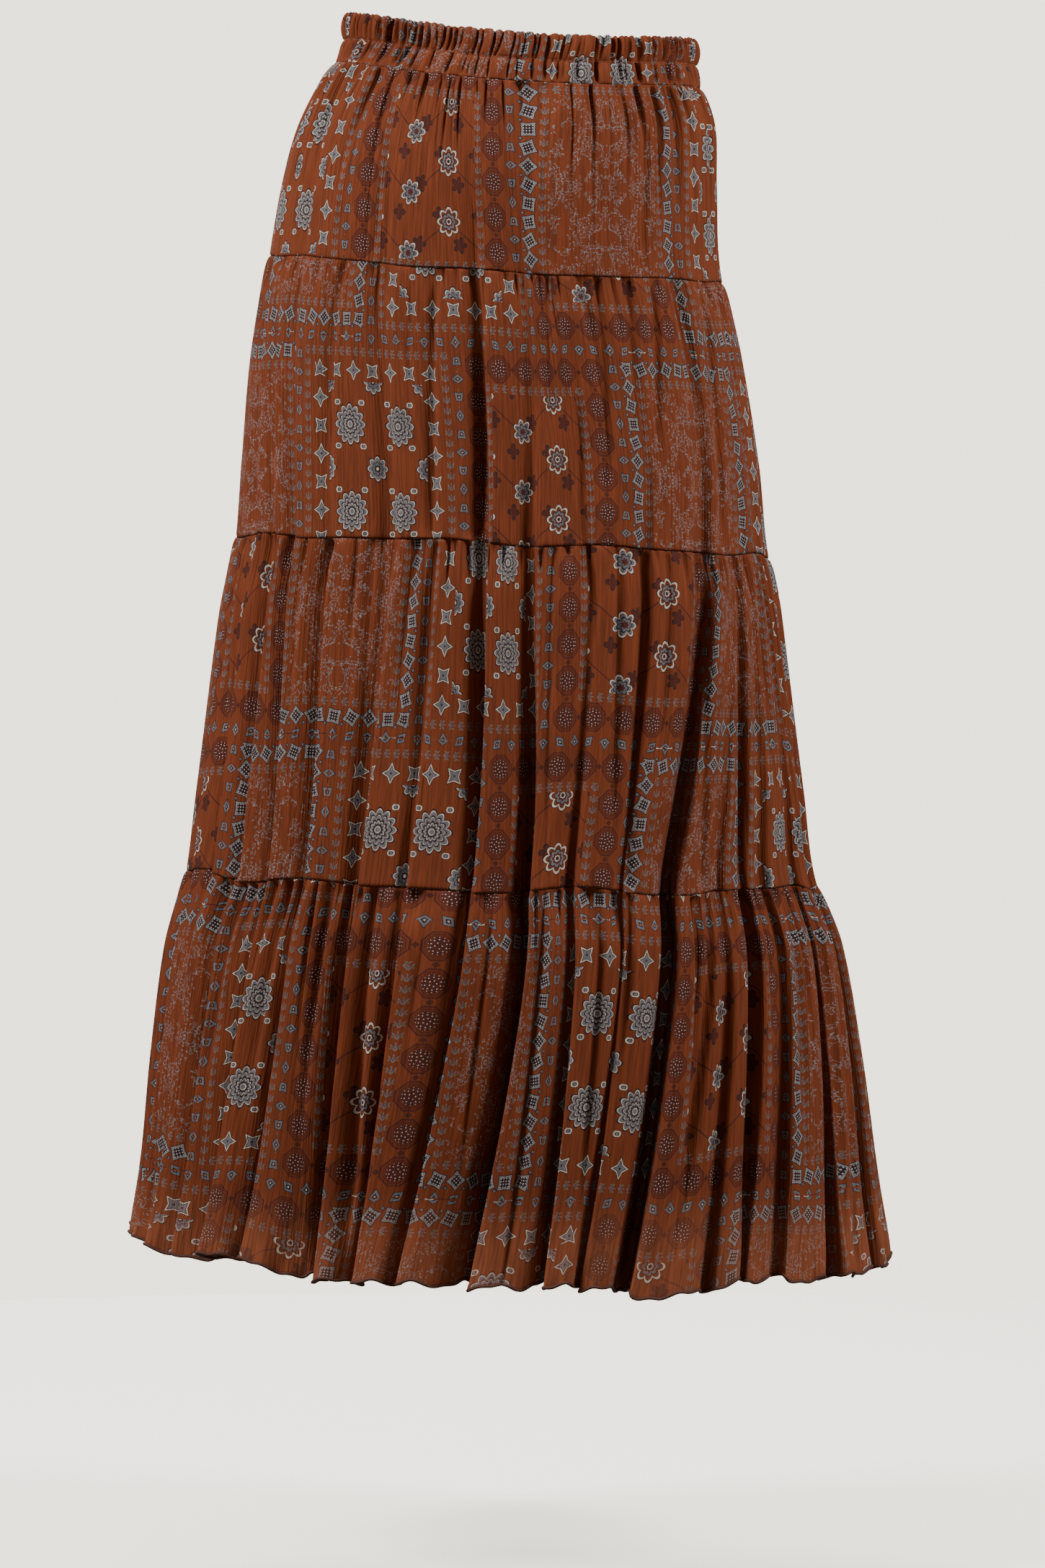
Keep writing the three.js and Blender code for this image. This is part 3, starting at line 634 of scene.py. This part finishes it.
# Tiers
# Each tier is a back and a front panel, gathered onto the one above. The cloth puffs out
# under the seam, small gathers run down from it, and the seam itself rolls in. Single
# creases lie between the long folds: degrees at top and foot, depth, width, start, end.
SEAM_GAP = 0.1
PUFF = 3.2
PUFF_RISE = 7
PUFF_FALL = 70
CLOTH_THICKNESS = 0.7
BACK_CREASES = [
    [(22, 21, 2, 5, 0, 0.8), (34, 31, 2, 5, 0, 0.9), (46, 42, 2, 5, 0, 0.6), (58, 58, 2, 5, 0.2, 1.2),
     (70, 71, 2.2, 5, 0, 0.7), (83, 88, 2.5, 5, 0, 1.1), (97, 99, 2.6, 5, 0, 0.8), (106, 106, 2, 5, 0, 1),
     (118, 117, 2, 5, 0, 0.6), (133, 131, 2.4, 5, 0, 0.9), (146, 146, 2, 5, 0, 0.7), (160, 160, 2.2, 4, 0, 0.8)],
    [(15, 20, 4, 4, 0, 1), (24, 28, 3, 5, 0.2, 1), (49, 50, 4, 5, 0, 0.7), (70, 70, 2.5, 5, 0, 0.5),
     (76, 75, 5, 5, 0, 0.95), (88, 84, 6, 5, 0, 1.1), (103, 101, 3.5, 5, 0, 0.6), (110, 107, 3, 5, 0.3, 1),
     (117, 113, 4.5, 6, 0, 0.8), (125, 119, 3, 5, 0, 0.5), (133, 124, 4, 5, 0, 0.65), (153, 146, 4.5, 5, 0, 0.9),
     (165, 162, 3, 4, 0, 0.7)],
    [(15, 22, 5.6, 5, 0, 0.95), (31, 33, 10.4, 6, 0, 1.1), (44, 47, 4, 4.5, 0, 0.45), (50, 52, 5.6, 6, 0, 1),
     (71, 70, 4, 5, 0, 0.5), (76, 76, 4.8, 5, 0, 0.75), (84, 85, 6.4, 5, 0, 1.1), (101, 98, 4.8, 5, 0, 0.9),
     (116, 110, 6.4, 5.5, 0, 0.8), (122, 113.5, 7.2, 5, 0, 1.1), (128, 118, 4, 4.5, 0, 0.5), (139, 129, 4.8, 5, 0.2, 1),
     (152, 140, 6.4, 5, 0, 0.9), (160, 152, 4.8, 4.5, 0, 0.6), (169, 166, 4.8, 5, 0, 1)],
    [(7, 8, 8, 4.5, 0, 1.1), (13, 13, 9, 5, 0, 1.1), (31, 27, 12, 5.5, 0, 1.1), (35.5, 31, 6, 4, 0, 0.5),
     (49, 42, 6, 5, 0, 0.5), (53, 46, 8, 5.5, 0.3, 1.1), (67.5, 64, 12, 5.5, 0, 0.9), (73, 66, 7, 5, 0.4, 1.1),
     (78, 69, 6, 4, 0, 0.4), (88.5, 79, 7, 4.5, 0, 0.7), (98, 89, 9, 5, 0, 1.1), (108, 98, 8, 5, 0, 0.8),
     (114, 101, 7, 4.5, 0.1, 0.6), (130, 113, 9, 5, 0, 0.75), (139, 126, 8, 5, 0, 0.8), (144, 130, 6, 4, 0, 0.3),
     (151, 139, 6, 4.5, 0, 0.6), (162, 151, 7, 4.5, 0, 0.9), (168, 156, 6, 4.5, 0.2, 1.1)],
]
TIERS = [
    {"cut": 560, "columns": 330, "rows": 46, "gathers": 44, "depth": 1.7, "length": 50, "print_at": (-139, 171)},
    {"cut": 700, "columns": 380, "rows": 50, "gathers": 62, "depth": 4.2, "length": 26, "print_at": (94, 55)},
    {"cut": 920, "columns": 440, "rows": 56, "gathers": 74, "depth": 5.2, "length": 30, "print_at": (51, 327)},
    {"cut": 1220, "columns": 560, "rows": 66, "gathers": 96, "depth": 6.2, "length": 38, "print_at": (140, 210)},
]


def gathers(creases, across, drop):
    """Sum of small gathers, each a trough across the cloth that starts at the seam,
    deepens over a few millimetres and dies away down its length."""
    shift = np.zeros_like(across)
    for place, depth, width, length, slant in creases:
        off = (across - place - slant * drop) / width
        off = np.where(off > 0, off * 1.7, -off * 0.75)
        shift -= depth * np.exp(-(off**1.5)) * (1 - np.exp(-drop / 2.5)) * np.exp(-((drop / length) ** 2))
    return shift


def long_creases(rows, level, angle, share):
    """Sum of the listed creases, each a narrow trough along a line from its angle
    at the tier's top to its angle at the foot, fading in and out between two shares."""
    shift = np.zeros_like(angle)
    reach = np.interp(level, LEVELS, [125, 170, 195, 225, 265])
    for top, foot, depth, width, start, end in rows:
        turn = angle - np.radians(top + (foot - top) * share)
        off = (turn - 2 * np.pi * np.round(turn / (2 * np.pi))) * reach / width
        off = np.where(off > 0, off * 2.2, -off * 0.6)
        window = 1 / (1 + np.exp(-(share - start) / 0.05)) / (1 + np.exp((share - end) / 0.07))
        shift -= depth * np.exp(-(off**1.4)) * window
    return shift


hem_lines = {}
for number, tier in enumerate(TIERS):
    upper_edge, lower_edge = EDGE_HEIGHT[number], EDGE_HEIGHT[number + 1]
    fall = upper_edge - lower_edge
    even = np.linspace(0, 1, tier["rows"] + 1)
    rows = 0.4 * even + 0.6 * (1 - np.cos(np.pi * even)) / 2
    for side in ("back", "front"):
        column = np.linspace(0, 1, tier["columns"] + 1)
        angle = column_angles(side, number + rows, number + 1, column)
        share = rows[:, None] + 0 * angle
        top = height_at(number, angle) - SEAM_GAP / 2
        foot = height_at(number + 1, angle) + (SEAM_GAP / 2 if number < 3 else 0)
        z = top + (foot - top) * share
        drop = top - z
        rise = z - foot
        cut = column[None, :] * tier["cut"] + 0 * angle
        pulled = []
        if number == 0:
            for place, depth, width in band_pleats[side]:
                pulled.append((place, 0.8 * depth, 1.2 * width, rng.uniform(15, 90), rng.uniform(-0.05, 0.05)))
        for k in range(tier["gathers"]):
            place = (k + rng.uniform(-0.45, 0.45)) * tier["cut"] / tier["gathers"]
            size = rng.uniform(0.2, 1)
            long = rng.uniform(0.25, 1) * (3.4 if rng.uniform() < 0.2 else 1)
            pulled.append((place, tier["depth"] * size * 1.6, rng.uniform(2.4, 5.5), tier["length"] * long,
                           rng.uniform(-0.06, 0.06)))
        puff = PUFF * (1 - np.exp(-drop / PUFF_RISE)) * np.exp(-drop / PUFF_FALL) * (1 - share)
        rolled = -1.2 * np.exp(-drop / 1.0)
        if number < 3:
            rolled = rolled - 0.6 * np.exp(-rise / 1.0)
        if side == "back":
            creased = long_creases(BACK_CREASES[number], number + share, angle, share)
        else:
            mirrored = [(360 - a, 360 - b, *rest) for a, b, *rest in BACK_CREASES[number]]
            creased = long_creases(mirrored, number + share, angle, share)
        from_side = np.minimum(cut, tier["cut"] - cut)
        side_fade = 1 - np.exp(-((from_side / 9) ** 2))
        side_seam = -0.6 * np.exp(-from_side / 1.2)
        seams = (1 - np.exp(-drop / 3)) * (1 - np.exp(-rise / 3) if number < 3 else 1)
        out_by = puff + rolled + side_seam + (gathers(pulled, cut, drop) + creased * seams) * side_fade
        if number == 3:
            slow = np.sin(2 * np.pi * cut / 46 + 2.5 * np.sin(cut / 97) + (1.3 if side == "front" else 0))
            quick = np.sin(2 * np.pi * cut / 19 + 2 * np.sin(cut / 61))
            waves = 3.2 * slow * np.exp(-((rise / 38) ** 2)) + 1.3 * quick * np.exp(-rise / 10)
            out_by = out_by + waves * side_fade
            z = z + (2.2 * slow + 1.0 * quick) * np.exp(-rise / 25) * side_fade
        points = folded_point(number + share, z, angle, out_by)
        print_x, print_y = tier["print_at"]
        printed_x = cut + print_x + (0 if side == "back" else 211)
        printed_y = print_y - share * fall
        panel = sheet_mesh(f"tier{number + 1}_{side}_cloth", points, printed_x, printed_y, CLOTH_THICKNESS)
        panel.data.materials.append(crinkle_rayon)
        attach(panel, "root")
        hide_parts(f"tier{number + 1}_{side}")
        if number == 3:
            hem_lines[side] = points[-1]

# Hem edge
# The raw hem is overlocked with a narrow rolled edge in darker thread, which stretches
# the cloth into its small waves. It is one thin bead that follows the cloth's own edge.
HEM_BEAD = 1.3
HEM_SIDES = 6


def bead_mesh(name, line, radius, sides):
    """Bead round a line of points: at each point a ring in the plane across the line,
    made from the upright direction and the one square to it and the line."""
    along = np.gradient(line, axis=0)
    along /= np.linalg.norm(along, axis=1, keepdims=True)
    outward = np.cross(along, [0, 0, 1])
    outward /= np.linalg.norm(outward, axis=1, keepdims=True)
    upright = np.cross(outward, along)
    turn = np.linspace(0, 2 * np.pi, sides, endpoint=False)[None, :, None]
    points = line[:, None] + radius * (np.cos(turn) * outward[:, None] + np.sin(turn) * upright[:, None])
    count = len(line)
    index = np.arange(count * sides).reshape(count, sides)
    beside = np.roll(index, -1, axis=1)
    quads = np.stack([index[:-1], index[1:], beside[1:], beside[:-1]], axis=-1).reshape(-1, 4)
    mesh = bpy.data.meshes.new(name)
    faces = quads.tolist() + [index[0].tolist(), index[-1, ::-1].tolist()]
    mesh.from_pydata((points.reshape(-1, 3) * MM).tolist(), [], faces)
    mesh.polygons.foreach_set("use_smooth", np.ones(len(mesh.polygons), bool))
    mesh.update()
    piece = bpy.data.objects.new(name, mesh)
    bpy.context.scene.collection.objects.link(piece)
    return piece


overlock = bpy.data.materials.new("overlock_thread")
overlock.use_nodes = True
overlock_shader = overlock.node_tree.nodes["Principled BSDF"]
overlock_shader.inputs["Roughness"].default_value = 0.8
place = add(overlock.node_tree, "TexCoord").node.outputs["Object"]
stitches = add(overlock.node_tree, "TexNoise", place, None, 700.0, 1.0)
thread = add(overlock.node_tree, "MixRGB", stitches, linear("#2f150a"), linear("#5c2b15"))
overlock.node_tree.links.new(thread, overlock_shader.inputs["Base Color"])
for side, line in hem_lines.items():
    bead = bead_mesh(f"hem_edge_{side}", line, HEM_BEAD, HEM_SIDES)
    bead.data.materials.append(overlock)
    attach(bead, "root")

# Floor, light and camera
# A plain pale studio: a round floor under the skirt, a pale room all round, and three
# soft boxes, one high up on each side of the camera and one beyond the skirt. Neither the
# floor nor the room throws much light back, so that the folds stay dark.
FLOOR_Z = -1.09
ROOM_GLOW = 0.27
BACKDROP_GLOW = 3.3
FLOOR_GLOW = 1.75
FLOOR_RADIUS = 1.8
floor_mesh = bpy.data.meshes.new("floor")
turn = np.linspace(0, 2 * np.pi, 128, endpoint=False)
rim = np.stack([FLOOR_RADIUS * np.cos(turn), FLOOR_RADIUS * np.sin(turn), FLOOR_Z + 0 * turn], axis=1)
floor_mesh.from_pydata(rim.tolist(), [], [list(range(len(rim)))])
floor = bpy.data.objects.new("floor", floor_mesh)
bpy.context.scene.collection.objects.link(floor)
floor_paint = bpy.data.materials.new("pale_floor")
floor_paint.use_nodes = True
floor_paint.node_tree.nodes["Principled BSDF"].inputs["Base Color"].default_value = linear("#f2efe9")
floor_paint.node_tree.nodes["Principled BSDF"].inputs["Roughness"].default_value = 0.95
floor_paint.node_tree.nodes["Principled BSDF"].inputs["Emission Color"].default_value = linear("#efe6d6")
floor_paint.node_tree.nodes["Principled BSDF"].inputs["Emission Strength"].default_value = FLOOR_GLOW
floor_mesh.materials.append(floor_paint)
floor.visible_diffuse = False
floor.visible_glossy = False

world = bpy.data.worlds.new("studio")
world.use_nodes = True
seen = add(world.node_tree, "LightPath")
strength = add(world.node_tree, "MapRange", seen, 0, 1, ROOM_GLOW, BACKDROP_GLOW)
world.node_tree.nodes["Background"].inputs["Color"].default_value = linear("#efe6d6")
world.node_tree.links.new(strength, world.node_tree.nodes["Background"].inputs["Strength"])
bpy.context.scene.world = world


def soft_light(name, place, target, size, watts):
    """Soft box: a lit rectangle of the given sides at a place, facing its target."""
    lamp = bpy.data.lights.new(name, "AREA")
    lamp.shape = "RECTANGLE"
    lamp.size, lamp.size_y = size
    lamp.energy = watts
    light = bpy.data.objects.new(name, lamp)
    light.location = place
    light.rotation_euler = (Vector(target) - Vector(place)).to_track_quat("-Z", "Y").to_euler()
    bpy.context.scene.collection.objects.link(light)


soft_light("left_box", (2.05, 0.9, 1.35), (0, 0, -0.15), (0.8, 0.8), 103)
soft_light("right_box", (-2.05, 0.9, 1.35), (0, 0, -0.15), (0.8, 0.8), 90)
soft_light("far_box", (0.6, -2.4, 1.35), (0, 0, -0.2), (1.0, 1.0), 80)

CAMERA_DISTANCE = 4.5
CAMERA_HEIGHT = -0.434
PHOTO_HEIGHT = 2175 * 0.000524
VIEW_CENTRE_Z = -(1087.5 - 71) * 0.000524
camera_data = bpy.data.cameras.new("camera")
camera_data.sensor_width = 36
camera_data.lens = 36 * CAMERA_DISTANCE / PHOTO_HEIGHT
camera = bpy.data.objects.new("camera", camera_data)
camera.location = (-0.0015, CAMERA_DISTANCE, CAMERA_HEIGHT)
aim = Vector((-0.0015, 0, VIEW_CENTRE_Z)) - camera.location
camera.rotation_euler = aim.to_track_quat("-Z", "Y").to_euler()
bpy.context.scene.collection.objects.link(camera)
bpy.context.scene.camera = camera
